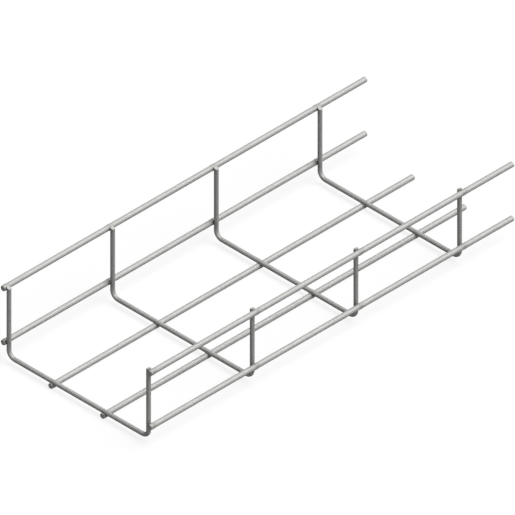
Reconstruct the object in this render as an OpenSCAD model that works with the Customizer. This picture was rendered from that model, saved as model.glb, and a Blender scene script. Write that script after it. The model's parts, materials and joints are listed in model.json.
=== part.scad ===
// Straight section of welded wire mesh cable basket, all of round steel wire.
// Cross wires bent to a U hold the floor and the two low sides open. Long wires
// run the whole length under the floor and outside the legs, and each is
// resistance-welded to every cross wire that it meets.
//
// +Y runs along the basket and +Z is up. The origin is the middle of the
// footprint, on the level that the floor wires rest on.

/* [Basket] */
// Length of the section, which is the length of every long wire
basket_length = 350; // [120:1:3000]
// Clear width between the legs of a cross wire
inside_width = 131.3; // [80:0.1:600]
// Clear depth from the floor run of a cross wire to the tips of its legs
inside_depth = 55.3; // [35:0.1:150]

/* [Long wires] */
// Diameter of the long wires
long_wire_d = 4.1; // [3:0.1:6]
// Number of floor wires
floor_wires = 2; // [1:1:6]
// Distance between neighbouring floor wires, centre to centre
floor_pitch = 50; // [15:1:100]
// Height of the low side wires above the floor wires, centre to centre
low_wire_rise = 13.4; // [12:0.1:30]
// Depth of the top side wires' centres below the tips of the legs
top_wire_drop = 0.95; // [0:0.05:10]

/* [Cross wires] */
// Diameter of the cross wires
cross_wire_d = 3.35; // [2.5:0.05:5]
// Distance between neighbouring cross wires, centre to centre
cross_pitch = 100; // [20:1:200]
// Distance of the first cross wire from the near ends of the long wires
end_lead = 2.6; // [2.5:0.1:50]
// Radius of the bends between floor run and legs, on the wire's centreline
bend_r = 5.8; // [4:0.1:8]

/* [Welds] */
// How far a cross wire is pressed into a floor wire
floor_set_down = 1.15; // [0.1:0.05:1.3]
// How far a cross wire is pressed into a side wire
side_set_down = 0.2; // [0.1:0.05:1.3]
// Length of wire that each weld has heated and swollen
weld_length = 4.4; // [3.4:0.1:5]
// How far a long wire swells out sideways there
weld_swell = 0.2; // [0.16:0.02:0.4]
// Depth of the flat that the welding electrode leaves at the back of a weld
electrode_flat = 0.1; // [0.05:0.01:0.3]

/* [Hidden] */
$fn = 64;

long_r = long_wire_d / 2;
cross_r = cross_wire_d / 2;

// heights of wire centres above the level that the basket rests on
floor_z = long_r;
run_z = floor_z + long_r + cross_r - floor_set_down;
tip_z = run_z + cross_r + inside_depth;
low_z = floor_z + low_wire_rise;
top_z = tip_z - top_wire_drop;

// distances of wire centres from the middle plane
leg_x = inside_width / 2 + cross_r;
side_x = leg_x + cross_r + long_r - side_set_down;
floor_xs = [for (i = [0:floor_wires - 1]) (i - (floor_wires - 1) / 2) * floor_pitch];

// places of the cross wires along the basket: as many as the length takes
cross_wires = 1 + floor((basket_length - end_lead - weld_length / 2) / cross_pitch);
cross_ys = [for (i = [0:cross_wires - 1]) end_lead + i * cross_pitch - basket_length / 2];

steel_light = [0.80, 0.80, 0.79];
steel_mid = [0.62, 0.62, 0.61];

// Block that presses a flat of the given depth on a wire of radius r. The wire
// runs along Y through the origin, and the flat faces down.
module electrode(r) {
  reach = r + weld_swell;
  translate([-reach, -weld_length / 2, -2 * reach])
    cube([2 * reach, weld_length, 2 * reach - r + electrode_flat]);
}

// Round rod along Y, centred on the origin.
module rod(r, length) {
  rotate([90, 0, 0]) cylinder(r = r, h = length, center = true);
}

// One leg of a cross wire, on the right, with the bend at its foot.
module leg() {
  bend_x = leg_x - bend_r;
  bend_z = run_z + bend_r;
  translate([bend_x, 0, bend_z])
    rotate([90, 0, 0])
      rotate([0, 0, -90])
        rotate_extrude(angle = 90) translate([bend_r, 0]) circle(r = cross_r);
  translate([leg_x, 0, bend_z]) cylinder(r = cross_r, h = tip_z - bend_z);
}

// Cross wire bent to a U, before it is welded.
module bent_wire() {
  run_length = 2 * (leg_x - bend_r);
  translate([0, 0, run_z]) rotate([0, 0, 90]) rod(cross_r, run_length);
  leg();
  mirror([1, 0, 0]) leg();
}

// Cross wire with the electrodes' flats, which lie on the inside of the basket.
module cross_wire(y) {
  color(steel_mid) translate([0, y, 0]) difference() {
    bent_wire();
    for (x = floor_xs)
      translate([x, 0, run_z]) rotate([0, 180, 90]) electrode(cross_r);
    for (side = [0, 1], z = [low_z, top_z])
      mirror([side, 0, 0]) translate([leg_x, 0, z]) rotate([90, 0, 90]) electrode(cross_r);
  }
}

// Long wire along Y through (x, z). It is swollen at each weld, pressed flat at
// the back, and seated in a saddle that the cross wire has sunk into its front.
// Turned by 0 degrees about Y, its back faces down.
module long_wire(x, z, turn) {
  color(steel_light) difference() {
    translate([x, 0, z]) rotate([0, turn, 0]) difference() {
      union() {
        rod(long_r, basket_length);
        for (y = cross_ys) translate([0, y, 0]) rod(long_r + weld_swell, weld_length);
      }
      for (y = cross_ys) translate([0, y, 0]) electrode(long_r);
    }
    for (y = cross_ys) translate([0, y, 0]) bent_wire();
  }
}

for (i = [1:floor_wires])
  long_wire(floor_xs[i - 1], floor_z, 0);
long_wire(-side_x, low_z, 90);  // low_wire_left
long_wire(side_x, low_z, -90);  // low_wire_right
long_wire(-side_x, top_z, 90);  // top_wire_left
long_wire(side_x, top_z, -90);  // top_wire_right
for (i = [1:cross_wires])
  cross_wire(cross_ys[i - 1]);
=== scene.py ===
import json
import math
import bpy
import numpy as np
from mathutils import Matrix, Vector


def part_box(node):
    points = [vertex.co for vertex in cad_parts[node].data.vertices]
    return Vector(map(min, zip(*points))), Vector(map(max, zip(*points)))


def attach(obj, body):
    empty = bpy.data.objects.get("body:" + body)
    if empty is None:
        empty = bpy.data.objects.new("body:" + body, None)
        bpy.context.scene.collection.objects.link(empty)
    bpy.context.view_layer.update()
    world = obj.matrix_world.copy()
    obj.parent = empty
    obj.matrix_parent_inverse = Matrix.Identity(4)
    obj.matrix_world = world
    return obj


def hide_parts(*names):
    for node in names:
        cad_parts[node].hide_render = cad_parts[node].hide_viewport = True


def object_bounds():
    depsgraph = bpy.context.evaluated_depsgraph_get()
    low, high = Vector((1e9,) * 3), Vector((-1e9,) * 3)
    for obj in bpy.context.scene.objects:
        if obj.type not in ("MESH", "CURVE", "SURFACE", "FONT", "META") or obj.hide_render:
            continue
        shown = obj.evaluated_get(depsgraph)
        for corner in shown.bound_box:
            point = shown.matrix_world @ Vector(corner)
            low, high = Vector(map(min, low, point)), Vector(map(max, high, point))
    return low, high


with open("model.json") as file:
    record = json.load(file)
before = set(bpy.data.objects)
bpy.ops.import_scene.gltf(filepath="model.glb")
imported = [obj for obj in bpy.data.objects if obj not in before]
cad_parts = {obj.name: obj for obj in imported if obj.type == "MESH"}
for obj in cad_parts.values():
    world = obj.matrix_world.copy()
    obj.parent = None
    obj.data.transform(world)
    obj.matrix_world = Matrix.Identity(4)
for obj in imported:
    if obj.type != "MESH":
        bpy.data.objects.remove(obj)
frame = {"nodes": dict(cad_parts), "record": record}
cadLow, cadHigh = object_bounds()
print("frame loaded")


# curves and rings

def hill(t):
    # smooth hill: cosine squared of the distance t from its top, and nothing past t = 1
    return np.cos(np.clip(np.abs(t), 0, 1) * np.pi / 2) ** 2


def rise(t):
    # smooth step that goes from 0 to 1 while t does
    t = np.clip(t, 0, 1)
    return t * t * (3 - 2 * t)


def nearest(distance, places):
    # distance from each ring or point along a wire to the nearest of these places
    return np.abs(distance[..., None] - np.array(places)).min(axis=-1)


def stations(length, shape, places):
    # distances along a wire: even steps, finer ones within reach of each place, none too close
    even = np.linspace(0, length, int(length / shape["step"]) + 2)
    reach = shape["fineReach"]
    fine = [np.arange(place - reach, place + reach, shape["fineStep"]) for place in places]
    every = np.unique(np.round(np.concatenate([even] + fine), 7))
    tooClose = 0.4 * shape["fineStep"]
    return every[np.append(True, np.diff(every) > tooClose)]


def cutEnd(radius, rim):
    # rings of a cut wire end, from the middle of its face out: the flat face, then a quarter circle
    # round the rim; gives how far each ring lies in from the end, and how far out from the axis
    faceRings = np.array([0, 0.3, 0.6, 0.85]) * (radius - rim)
    turn = np.linspace(0, np.pi / 2, 6)
    inward = np.concatenate([np.zeros(len(faceRings)), rim * (1 - np.cos(turn))])
    outward = np.concatenate([faceRings, radius - rim * (1 - np.sin(turn))])
    return inward, outward


def wireRings(length, radius, shape, places):
    # distance along the wire, radius and share of cut face of every ring, both ends being cut
    inward, outward = cutEnd(radius, shape["rim"])
    pastRim = 1.2 * shape["rim"]
    along = stations(length, shape, places)
    along = along[(along > pastRim) & (along < length - pastRim)]
    face = (inward == 0).astype(float)
    distance = np.concatenate([inward, along, length - inward[::-1]])
    radii = np.concatenate([outward, np.full(len(along), radius), outward[::-1]])
    cut = np.concatenate([face, np.zeros(len(along)), face[::-1]])
    return distance, radii, cut


def around(count):
    # angles round a ring
    return np.linspace(0, 2 * np.pi, count, endpoint=False)


# meshes

def meshPiece(name, points, quads, triangles, layers):
    # mesh object with smooth shading and one attribute for each layer; the sign of the volume under
    # the quads tells whether the faces look outwards, and if not they are turned round
    a, b, c, d = (points[quads[:, i]] - points.mean(axis=0) for i in range(4))
    volume = (np.cross(a, b) * c).sum() + (np.cross(a, c) * d).sum()
    if volume < 0:
        quads = quads[:, ::-1]
        triangles = triangles[:, ::-1]
    mesh = bpy.data.meshes.new(name)
    mesh.from_pydata(points.tolist(), [], quads.tolist() + triangles.tolist())
    for key, values in layers.items():
        kind, field = ("FLOAT_VECTOR", "vector") if values.ndim == 2 else ("FLOAT", "value")
        layer = mesh.attributes.new(key, kind, "POINT")
        layer.data.foreach_set(field, values.astype(np.float32).ravel())
    mesh.polygons.foreach_set("use_smooth", np.ones(len(mesh.polygons), bool))
    mesh.update()
    piece = bpy.data.objects.new(name, mesh)
    bpy.context.scene.collection.objects.link(piece)
    return piece


def skin(name, grid, layers):
    # closed tube over a grid of rings by points; the first and the last ring are drawn to a pole
    rings, count = grid.shape[:2]
    pack = lambda g: np.concatenate([g[:1, 0], g[1:-1].reshape(-1, *g.shape[2:]), g[-1:, 0]])
    points = pack(grid)
    lowRing = 1 + np.arange(count)
    nextOne = np.roll(lowRing, -1)
    row = (np.arange(rings - 3) * count)[:, None]
    quads = np.stack([lowRing + row, nextOne + row, nextOne + row + count, lowRing + row + count], axis=-1)
    highRing = lowRing + (rings - 3) * count
    first = np.column_stack([np.zeros(count, int), nextOne, lowRing])
    last = np.column_stack([np.full(count, len(points) - 1), highRing, np.roll(highRing, -1)])
    layers = {key: pack(values) for key, values in layers.items()}
    return meshPiece(name, points, quads.reshape(-1, 4), np.vstack([first, last]), layers)


def pieceName(node):
    # floor_wire_1 becomes floorWire1
    words = node.split("_")
    return words[0] + "".join(word.capitalize() for word in words[1:])


# shader maths

class Shade:
    # one socket of a material, where arithmetic adds Math nodes
    def __init__(self, tree, socket=None):
        self.tree = tree
        self.socket = socket

    def add(self, kind, settings=None, values=None, output=0):
        # any other node: its settings first, then numbers or links for its sockets
        node = self.tree.nodes.new(kind)
        for key, value in (settings or {}).items():
            setattr(node, key, value)
        for key, value in (values or {}).items():
            if isinstance(value, Shade):
                self.tree.links.new(value.socket, node.inputs[key])
            else:
                node.inputs[key].default_value = value
        return Shade(self.tree, node.outputs[output])

    def math(self, operation, a, b):
        return self.add("ShaderNodeMath", {"operation": operation}, {0: a, 1: b})

    def __add__(self, other):
        return self.math("ADD", self, other)

    def __radd__(self, other):
        return self.math("ADD", other, self)

    def __sub__(self, other):
        return self.math("SUBTRACT", self, other)

    def __rsub__(self, other):
        return self.math("SUBTRACT", other, self)

    def __mul__(self, other):
        return self.math("MULTIPLY", self, other)

    def __rmul__(self, other):
        return self.math("MULTIPLY", other, self)

    def between(self, low, high):
        # 0 at low and 1 at high, eased at both ends
        return self.add("ShaderNodeMapRange", {"interpolation_type": "SMOOTHSTEP"},
                        {"Value": self, "From Min": low, "From Max": high})

    def stretched(self, amounts):
        return self.add("ShaderNodeVectorMath", {"operation": "MULTIPLY"}, {0: self, 1: amounts})

    def noise(self, scale, detail, roughness):
        return self.add("ShaderNodeTexNoise", None,
                        {"Vector": self, "Scale": scale, "Detail": detail, "Roughness": roughness})

    def spots(self, scale):
        # distance from the nearest of many scattered points, in cells
        return self.add("ShaderNodeTexVoronoi", None, {"Vector": self, "Scale": scale}, output="Distance")

    def tinted(self, a, b):
        # colour a where this is 0, colour b where it is 1
        return self.add("ShaderNodeMix", {"data_type": "RGBA"}, {0: self, 6: a, 7: b}, output=2)


def newMaterial(name):
    material = bpy.data.materials.new(name)
    material.use_nodes = True
    material.node_tree.nodes.clear()
    return material, Shade(material.node_tree)


def wireUp(shader, kind):
    # joins a finished shader to the tree's output
    end = shader.tree.nodes.new(kind)
    shader.tree.links.new(shader.socket, end.inputs["Surface"])


# zinc finish

zincCoat = {
    "fresh": (0.475, 0.475, 0.463, 1),      # zinc as it leaves the bath
    "bloom": (0.445, 0.446, 0.436, 1),      # the grey film that grows on it
    "bloomBand": (0.35, 0.68),              # cloud at which the film begins, and at which it covers
    "line": (0.31, 0.31, 0.30, 1),          # bottom of the drawing lines
    "lineBand": (0.62, 0.38),               # line at which that begins, and at which it is full
    "lineShare": 0.35,                      # how strongly it shows
    "heated": (0.34, 0.335, 0.32, 1),       # zinc that a weld has dulled
    "heatedShare": 0.5,                     # how strongly it shows
    "heatedBand": (0.3, 0.7),               # patchy at which the dulling is weak and strong
    "heatedWeak": 0.45,                     # its strength where it is weak
    "heatedMore": 0.9,                      # what is added to that where it is strong
    "sheared": (0.50, 0.495, 0.48, 1),      # cut end
    "torn": 0.6,                            # how much of that colour the torn lines take away
    "metallic": 0.3,
    "gloss": 0.0,                           # level of the clear gloss over the colour
    "glancing": (0.0, 0.0, 0.0, 1),         # tint of the metal seen edge on
    "roughness": 0.52,                      # before the marks below change it
    "dripScale": 430,                       # small drips of zinc, in cells per metre
    "dripBand": (0.05, 0.16),               # a drip's full height and its foot, in cells
    "relief": 0.000075,                     # depth in metres of a height of 1
    "reliefShare": 0.5,                     # how strongly it bends the light
    "apart": 0.6,                           # metres of pattern from one wire to the next
}

# noise over a wire laid straight along Z: scale in waves per metre, stretch, detail, roughness
zincPatterns = {
    "cloud": (420, (1, 1, 0.35), 4, 0.6),      # patches a few millimetres long
    "line": (6500, (1, 1, 0.010), 2, 0.5),     # fine lines from the die
    "groove": (1700, (1, 1, 0.018), 2, 0.5),   # broader marks beside them
    "grain": (3800, (1, 1, 1), 3, 0.6),        # the coat's own grain
    "tear": (5200, (1, 0.12, 1), 3, 0.6),      # lines that a shear leaves
    "patchy": (900, (1, 1, 1), 3, 0.6),        # uneven dulling round a weld
}

# how much each kind of mark adds to the roughness, and how much to the height
zincDulls = {"cloud": 0.14, "line": 0.22, "heat": 0.10, "tear": 0.25}
zincHeights = {"line": 0.50, "groove": 0.35, "drip": 0.9, "grain": 0.35, "heat": 0.7, "tear": 1.2}


def zincWireMaterial():
    # satin zinc on drawn wire; wirePlace is the place on the wire as if it lay straight along Z,
    # and the colours lie over each other: zinc, grey film, drawing lines, dulled welds, cut faces
    coat, dulls, heights = zincCoat, zincDulls, zincHeights
    material, start = newMaterial("zincWire")
    wire = start.add("ShaderNodeAttribute", {"attribute_name": "wirePlace"}, output="Vector")
    heat = start.add("ShaderNodeAttribute", {"attribute_name": "weldHeat"}, output="Fac")
    cut = start.add("ShaderNodeAttribute", {"attribute_name": "cutFace"}, output="Fac")
    side = 1 - cut
    patterns = [wire.stretched(stretch).noise(scale, detail, roughness)
                for scale, stretch, detail, roughness in zincPatterns.values()]
    cloud, line, groove, grain, tear, patchy = patterns
    drip = 1 - wire.spots(coat["dripScale"]).between(*coat["dripBand"])
    dulled = heat * (coat["heatedWeak"] + coat["heatedMore"] * patchy.between(*coat["heatedBand"]))
    colour = cloud.between(*coat["bloomBand"]).tinted(coat["fresh"], coat["bloom"])
    lined = side * coat["lineShare"] * line.between(*coat["lineBand"])
    colour = lined.tinted(colour, coat["line"])
    colour = (coat["heatedShare"] * dulled).tinted(colour, coat["heated"])
    colour = (cut * (1 - coat["torn"] + coat["torn"] * tear)).tinted(colour, coat["sheared"])
    roughness = (coat["roughness"] + dulls["cloud"] * (cloud - 0.5) + side * dulls["line"] * (line - 0.5)
                 + dulls["heat"] * dulled + cut * dulls["tear"] * (tear - 0.3))
    height = (side * (heights["line"] * line + heights["groove"] * groove + heights["drip"] * drip)
              + heights["grain"] * grain + heights["heat"] * heat * grain + cut * heights["tear"] * tear)
    relief = height.add("ShaderNodeBump", None, {
        "Strength": coat["reliefShare"], "Distance": coat["relief"], "Height": height})
    body = start.add("ShaderNodeBsdfPrincipled", None, {
        "Base Color": colour, "Metallic": coat["metallic"], "Roughness": roughness, "Normal": relief,
        "Specular IOR Level": coat["gloss"], "Specular Tint": coat["glancing"]})
    wireUp(body, "ShaderNodeOutputMaterial")
    return material


def finishLayers(outward, across, distance, gap, cut, shape, seed):
    # what the finish reads at every point: its place on the wire, the heat of the nearest weld,
    # which fades with the distance to it as a bell curve does, and whether it is on a cut face
    even = np.zeros_like(outward)
    along = distance[:, None] + even + zincCoat["apart"] * seed
    return {"wirePlace": np.stack([outward, across, along], axis=-1),
            "weldHeat": np.exp(-(gap / shape["heatReach"]) ** 2) + even,
            "cutFace": cut[:, None] + even}


zincWire = zincWireMaterial()
print("zinc finish made")


def finishPiece(piece, *nodes):
    # gives a piece the finish, hangs it on the root body, and hides the nodes that it stands for
    piece.data.materials.append(zincWire)
    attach(piece, "root")
    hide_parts(*nodes)


# the wires' places, read from the frame

def readCrossWire(node):
    # it lies straight across the basket, so its box is as wide along Y as the wire is thick
    low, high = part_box(node)
    radius = (high[1] - low[1]) / 2
    return {"node": node, "radius": radius, "y": (low[1] + high[1]) / 2, "legX": high[0] - radius,
            "runZ": low[2] + radius}


crossNodes = sorted(name for name in frame["nodes"] if name.startswith("cross_wire"))
crossWires = [readCrossWire(node) for node in crossNodes]
runZ = crossWires[0]["runZ"]


def readLongWire(mount):
    # the wire whose box holds the mount on its free end; it faces the cross wires
    x, y, z = mount["pos_m"]
    for node in frame["nodes"]:
        low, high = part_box(node)
        if low[0] < x < high[0] and low[1] < y < high[1] and low[2] < z < high[2]:
            facing = (0, 0, 1) if z < runZ else (-math.copysign(1, x), 0, 0)
            return {"node": node, "radius": mount["dims"]["r_mm"] / 1000, "x": x, "z": z,
                    "start": low[1], "length": high[1] - low[1], "facing": np.array(facing)}


longWires = [readLongWire(mount) for mount in frame["record"]["mounts"] if mount["kind"] == "pin"]
print(len(longWires), "long wires and", len(crossWires), "cross wires")


# welds on both kinds of wire

weld = {
    "length": 0.0044,       # length that an electrode presses
    "flat": 0.0001,         # depth of the flat that it leaves
    "fade": 0.0004,         # length over which the flat comes in
    "swell": 0.0002,        # how far a long wire swells out sideways
    "reach": 0.0030,        # distance at which the swelling ends
}


def pressed(gap):
    # depth of an electrode's flat at this distance from the weld
    return weld["flat"] * rise((weld["length"] / 2 - gap) / weld["fade"])


# long wires

longWire = {
    "around": 48,           # points in a ring
    "step": 0.0014,         # distance between rings
    "fineStep": 0.0002,     # and near a weld
    "fineReach": 0.0034,    # how far from there it stays fine
    "rim": 0.00028,         # radius round the edge of a cut end
    "slant": 0.030,         # slope of a cut end
    "slantReach": 0.0014,   # length of wire that leans with it
    "heatReach": 0.0030,    # distance from a weld at which a third of its dulling is left
    "firstSeed": 1,         # chances of the first wire; each later one has the next seed
}


def makeLongWire(wire, seed):
    # tube round a straight axis: each ring is a circle, swollen by a hill at every weld and cut
    # flat at the back there; the end faces slant a little, as sheared ends do
    dice = np.random.default_rng(seed)
    radius = wire["radius"]
    places = [cross["y"] - wire["start"] for cross in crossWires]
    distance, radii, cut = wireRings(wire["length"], radius, longWire, places)
    gap = nearest(distance, places)
    radii = radii + weld["swell"] * hill(gap / weld["reach"]) * (cut < 1)
    turn = around(longWire["around"])[None, :]
    front = np.maximum(radii[:, None] * np.cos(turn), -(radius - pressed(gap))[:, None])
    across = radii[:, None] * np.sin(turn)
    shift = np.zeros_like(front)
    for end, sign in ((0, 1), (wire["length"], -1)):
        heading = dice.uniform(0, 2 * np.pi)
        lean = radius + front * np.cos(heading) + across * np.sin(heading)
        share = rise(1 - np.abs(distance - end) / longWire["slantReach"])
        shift += sign * longWire["slant"] * lean * share[:, None]
    facing = wire["facing"]
    axis = np.array([0, 1, 0])
    sideways = np.cross(axis, facing)
    centre = np.array([wire["x"], wire["start"], wire["z"]])
    grid = (centre + (distance[:, None] + shift)[..., None] * axis
            + front[..., None] * facing + across[..., None] * sideways)
    layers = finishLayers(front, across, distance, gap[:, None], cut, longWire, seed)
    finishPiece(skin(pieceName(wire["node"]), grid, layers), wire["node"])


for i, wire in enumerate(longWires):
    makeLongWire(wire, longWire["firstSeed"] + i)
print("long wires made")


# cross wires

crossWire = {
    "around": 44,           # points in a ring
    "step": 0.0012,         # distance between rings
    "fineStep": 0.0002,     # and near a weld or a bend
    "fineReach": 0.0030,    # how far from there it stays fine
    "bendRadius": 0.0058,   # on the wire's centreline
    "squeeze": 0.035,       # how much flatter the section is in a bend
    "bulge": 0.7,           # share of that by which it is wider
    "squeezeReach": 1.3,    # distance from a bend's middle where it begins, in bends
    "rim": 0.00020,         # radius round the edge of a cut tip
    "slant": 0.364,         # slope of a cut tip, about 20 degrees
    "slantReach": 0.0040,   # length of wire that leans with it
    "uneven": 0.04,         # how much that slope varies
    "heatReach": 0.0028,    # distance from a weld at which a third of its dulling is left
    "firstSeed": 21,        # chances of the first wire; each later one has the next seed
}


def makeCrossWire(wire, seed):
    # tube along a U: down a leg, a quarter circle, the floor run, a quarter circle, up a leg; the
    # section turns a little oval in the bends and is pressed flat on the inside at each weld; each
    # tip is cut at a slope that falls towards the inside, from the height of the top wires' crown
    dice = np.random.default_rng(seed)
    radius = wire["radius"]
    bend = crossWire["bendRadius"]
    tipZ = max(other["z"] + other["radius"] for other in longWires)
    leg = tipZ - wire["runZ"] - bend
    arc = bend * np.pi / 2
    run = 2 * (wire["legX"] - bend)
    length = 2 * leg + 2 * arc + run
    places = []
    for other in longWires:
        if other["z"] < runZ:
            places.append(leg + arc + other["x"] + run / 2)
        else:
            down = tipZ - other["z"]
            places.append(down if other["x"] < 0 else length - down)
    corners = [leg + arc / 2, length - leg - arc / 2]
    distance, radii, cut = wireRings(length, radius, crossWire, places + corners)
    first = np.clip((distance - leg) / bend, 0, np.pi / 2)
    second = np.clip((distance - leg - arc - run) / bend, 0, np.pi / 2)
    x = (-wire["legX"] + bend * (1 - np.cos(first)) + np.clip(distance - leg - arc, 0, run)
         + bend * np.sin(second))
    z = (tipZ - np.clip(distance, 0, leg) - bend * np.sin(first) + bend * (1 - np.cos(second))
         + np.clip(distance - length + leg, 0, leg))
    heading = first + second - np.pi / 2
    oval = crossWire["squeeze"] * rise(crossWire["squeezeReach"] - nearest(distance, corners) / arc)
    turn = around(crossWire["around"])[None, :]
    inside = (radii * (1 - oval))[:, None] * np.cos(turn)
    across = (radii * (1 + crossWire["bulge"] * oval))[:, None] * np.sin(turn)
    shift = np.zeros_like(inside)
    for end, sign in ((0, 1), (length, -1)):
        slope = crossWire["slant"] + dice.uniform(-1, 1) * crossWire["uneven"]
        twist = dice.uniform(-1, 1) * crossWire["uneven"]
        lean = slope * (radius + inside) + twist * across
        shift += sign * lean * rise(1 - np.abs(distance - end) / crossWire["slantReach"])[:, None]
    gap = nearest(distance[:, None] + shift, places)
    inside = np.minimum(inside, radius - pressed(gap))
    level = np.zeros_like(heading)
    ahead = np.stack([np.cos(heading), level, np.sin(heading)], axis=-1)[:, None, :]
    inward = np.stack([-np.sin(heading), level, np.cos(heading)], axis=-1)[:, None, :]
    centre = np.stack([x, np.full_like(x, wire["y"]), z], axis=-1)[:, None, :]
    grid = (centre + shift[..., None] * ahead + inside[..., None] * inward
            + across[..., None] * np.array([0, 1, 0]))
    layers = finishLayers(inside, across, distance, gap, cut, crossWire, seed)
    finishPiece(skin(pieceName(wire["node"]), grid, layers), wire["node"])


for i, wire in enumerate(crossWires):
    makeCrossWire(wire, crossWire["firstSeed"] + i)
print("cross wires made")


# metal squeezed out round each weld

weldBead = {
    "around": 72,                   # points along the ring of metal
    "section": 12,                  # points round its section
    "size": 0.00030,                # half of its thickness
    "spread": 1.5,                  # how much wider than thick it is
    "sunk": 0.35,                   # how deep its middle lies under the surface, in sizes
    "uneven": 0.28,                 # how much its size varies
    "waves": (1, 2, 3, 5, 8, 13),   # swings of that variation in one round
    "weakest": 0.3,                 # least strength of one of them, where 1 is the most
    "fading": 0.7,                  # power of the swings by which finer waves are weaker
    "patternFrom": 3,               # metres of pattern between the wires' and its own
    "seed": 5,                      # chances of all the rings
}


def beadCurve(longRadius, crossRadius, apart, turn):
    # where two round wires that cross at right angles meet: in each direction, the distance from
    # the middle at which their two surfaces are equally high, found by halving
    tiny = 1e-6
    halvings = 40
    near = np.zeros_like(turn)
    far = np.minimum(longRadius / np.maximum(np.abs(np.cos(turn)), tiny),
                     crossRadius / np.maximum(np.abs(np.sin(turn)), tiny))
    for _ in range(halvings):
        middle = (near + far) / 2
        longHeight = np.sqrt(np.maximum(longRadius ** 2 - (middle * np.cos(turn)) ** 2, 0))
        crossHeight = np.sqrt(np.maximum(crossRadius ** 2 - (middle * np.sin(turn)) ** 2, 0))
        within = longHeight + crossHeight > apart
        near = np.where(within, middle, near)
        far = np.where(within, far, middle)
    return near


def makeBead(long, cross, dice):
    # closed ring of metal along that curve, a flattened oval in section; its size follows a sum
    # of sine waves round the ring, the finer ones weaker
    turn = around(weldBead["around"])
    facing = long["facing"]
    radius = long["radius"] + weld["swell"] / 2
    onFloor = facing[2] > 0
    apart = cross["runZ"] - long["z"] if onFloor else abs(long["x"]) - cross["legX"]
    out = beadCurve(radius, cross["radius"], apart, turn)
    sidewards = out * np.cos(turn)
    lengthwise = out * np.sin(turn)
    high = np.sqrt(radius ** 2 - sidewards ** 2)
    crossWay = np.array([1.0, 0, 0]) if onFloor else np.array([0, 0, 1.0])
    longWay = np.array([0, 1.0, 0])
    toWorld = lambda u, v, w: u[:, None] * crossWay + v[:, None] * longWay + w[:, None] * facing
    none = 0 * turn
    curve = np.array([long["x"], cross["y"], long["z"]]) + toWorld(sidewards, lengthwise, high)
    outward = (toWorld(sidewards, none, high) / radius
               + toWorld(none, lengthwise, high - apart) / cross["radius"])
    outward /= np.linalg.norm(outward, axis=1)[:, None]
    ahead = np.roll(curve, -1, axis=0) - np.roll(curve, 1, axis=0)
    ahead /= np.linalg.norm(ahead, axis=1)[:, None]
    beside = np.cross(ahead, outward)
    wobble = 0
    for swings in weldBead["waves"]:
        strength = dice.uniform(weldBead["weakest"], 1) / swings ** weldBead["fading"]
        wobble = wobble + strength * np.sin(swings * turn + dice.uniform(0, 2 * np.pi))
    thick = (weldBead["size"] * (1 + weldBead["uneven"] * wobble))[:, None, None]
    section = around(weldBead["section"])[None, :, None]
    return (curve[:, None] + thick * (np.cos(section) - weldBead["sunk"]) * outward[:, None]
            + weldBead["spread"] * thick * np.sin(section) * beside[:, None])


def makeWeldFlash():
    # the rings of all welds as one mesh; each is closed both along itself and round its section
    dice = np.random.default_rng(weldBead["seed"])
    grids = np.array([makeBead(long, cross, dice) for long in longWires for cross in crossWires])
    spot = np.arange(grids[..., 0].size).reshape(grids.shape[:3])
    nextSpot = np.roll(spot, -1, 1)
    quads = np.stack([spot, nextSpot, np.roll(nextSpot, -1, 2), np.roll(spot, -1, 2)], axis=-1)
    points = grids.reshape(-1, 3)
    layers = {"wirePlace": points + weldBead["patternFrom"], "weldHeat": np.ones(len(points)),
              "cutFace": np.zeros(len(points))}
    noTriangles = np.zeros((0, 3), int)
    finishPiece(meshPiece("weldFlash", points, quads.reshape(-1, 4), noTriangles, layers))


makeWeldFlash()
print("weld flash made")


# studio

# where each lamp's light comes from, its level and how many degrees wide it is
lamps = {
    "keyLamp": {"from": (0.42, 0.29, 0.865), "level": 1.0, "width": 50},
    "fillLamp": {"from": (0.93, 0.19, 0.31), "level": 0.11, "width": 60},
    "backLamp": {"from": (-0.55, 0.45, 0.70), "level": 0.20, "width": 60},
}

studio = {
    "skyLevel": 0.0,        # level of the light that comes from all round
    "floorShade": 0.05,     # share of the lamps' light that the floor throws up on the object
    "floorGlow": 0.83,      # share of the floor's white that doesn't depend on the lamps
    "floorSize": 14,        # metres along each side
}


def makeLamp(name, lamp):
    light = bpy.data.lights.new(name, "SUN")
    light.energy = lamp["level"] * math.pi
    light.angle = math.radians(lamp["width"])
    holder = bpy.data.objects.new(name, light)
    holder.rotation_mode = "QUATERNION"
    holder.rotation_quaternion = Vector(lamp["from"]).to_track_quat("Z", "Y")
    bpy.context.scene.collection.objects.link(holder)


def grey(level):
    return (level, level, level, 1)


def seenDirectly(start):
    # 1 for camera, glossy and transmission rays
    seen, mirrored, through = (start.add("ShaderNodeLightPath", output=ray) for ray in (
        "Is Camera Ray", "Is Glossy Ray", "Is Transmission Ray"))
    return start.math("MAXIMUM", start.math("MAXIMUM", seen, mirrored), through)


def makeWorld():
    # white where it is seen, and at its own level where it lights the object
    world = bpy.data.worlds.new("studioWorld")
    world.use_nodes = True
    world.node_tree.nodes.clear()
    start = Shade(world.node_tree)
    colour = seenDirectly(start).tinted(grey(studio["skyLevel"]), grey(1))
    sky = start.add("ShaderNodeBackground", None, {"Color": colour, "Strength": 1.0})
    wireUp(sky, "ShaderNodeOutputWorld")
    bpy.context.scene.world = world


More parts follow.
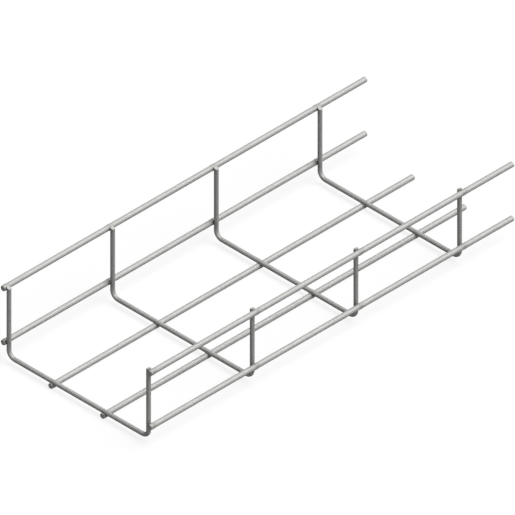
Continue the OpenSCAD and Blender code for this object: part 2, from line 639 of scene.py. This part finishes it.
def makeFloor():
    # where it is seen, mostly a white glow, and under it paper that takes the object's shadow
    half = studio["floorSize"] / 2
    corners = [(-half, -half, 0), (half, -half, 0), (half, half, 0), (-half, half, 0)]
    mesh = bpy.data.meshes.new("floor")
    mesh.from_pydata(corners, [], [(0, 1, 2, 3)])
    floor = bpy.data.objects.new("floor", mesh)
    bpy.context.scene.collection.objects.link(floor)
    material, start = newMaterial("paleFloor")
    seen = seenDirectly(start)
    paperColour = seen.tinted(grey(studio["floorShade"]), grey(1))
    paper = start.add("ShaderNodeBsdfDiffuse", None, {"Color": paperColour})
    glow = start.add("ShaderNodeEmission", None, {"Color": grey(1), "Strength": 1.0})
    both = start.add("ShaderNodeMixShader", None, {0: seen * studio["floorGlow"], 1: paper, 2: glow})
    wireUp(both, "ShaderNodeOutputMaterial")
    mesh.materials.append(material)


for name, lamp in lamps.items():
    makeLamp(name, lamp)
makeWorld()
makeFloor()
bpy.context.scene.view_settings.view_transform = "Standard"
print("studio made")


# camera

viewpoint = {
    "azimuth": 45,
    "elevation": 35.2644,   # with 45 degrees of azimuth, all three axes look equally long
    "width": 0.35129,       # metres across the view
    "lift": 0.00260,        # how far above the object's middle it looks
    "distance": 1.2,        # metres from there
}


def makeCamera():
    turn = math.radians(viewpoint["azimuth"])
    tilt = math.radians(viewpoint["elevation"])
    back = Vector((math.sin(turn) * math.cos(tilt), -math.cos(turn) * math.cos(tilt), math.sin(tilt)))
    up = Vector((-math.sin(turn) * math.sin(tilt), math.cos(turn) * math.sin(tilt), math.cos(tilt)))
    aim = (cadLow + cadHigh) / 2 + up * viewpoint["lift"]
    camera = bpy.data.cameras.new("camera")
    camera.type = "ORTHO"
    camera.ortho_scale = viewpoint["width"]
    holder = bpy.data.objects.new("camera", camera)
    holder.rotation_mode = "QUATERNION"
    holder.location = aim + back * viewpoint["distance"]
    holder.rotation_quaternion = (-back).to_track_quat("-Z", "Y")
    bpy.context.scene.collection.objects.link(holder)
    bpy.context.scene.camera = holder


makeCamera()
print("camera set")
